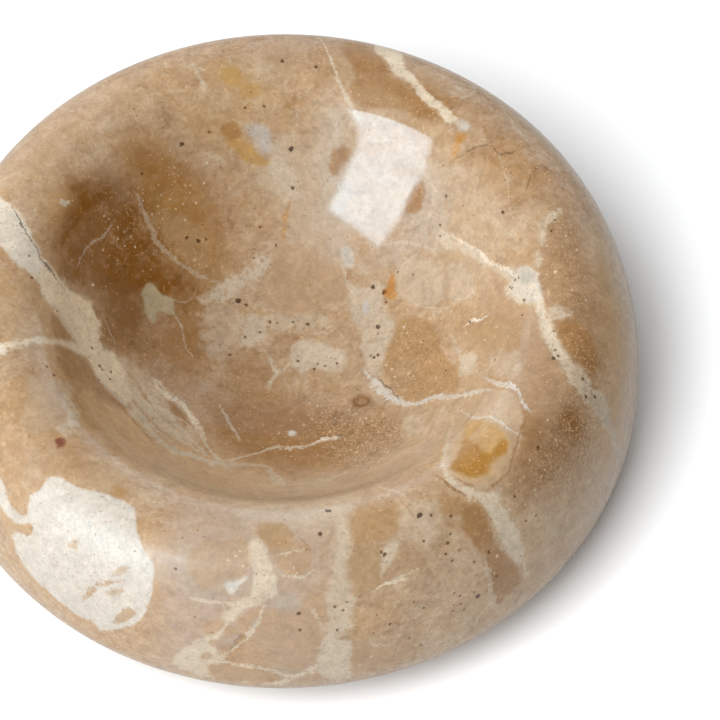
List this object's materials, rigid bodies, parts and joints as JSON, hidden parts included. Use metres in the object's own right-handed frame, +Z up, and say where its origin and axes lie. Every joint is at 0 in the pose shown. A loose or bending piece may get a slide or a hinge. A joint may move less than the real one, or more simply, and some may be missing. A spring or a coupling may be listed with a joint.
{
  "type": "ring dish",
  "caption": "Round ring dish turned from veined tan stone: a fat rounded rim rolls into a deep smooth hollow for rings, and felt pads sit under its flat foot.",
  "frame": {"origin": "on the surface that the dish stands on, under the middle of the dish", "axes": "+Z up along the dish's axis of turning, out of the hollow; X and Y lie between the pads"},
  "size_m": [0.12, 0.12, 0.0455],
  "materials": {
    "polished_stone": "polished",
    "felt": "pressed felt"
  },
  "bodies": {
    "root": {"stone_dish": "polished_stone", "felt_pad_1": "felt", "felt_pad_2": "felt", "felt_pad_3": "felt", "felt_pad_4": "felt"}
  },
  "joints": []
}
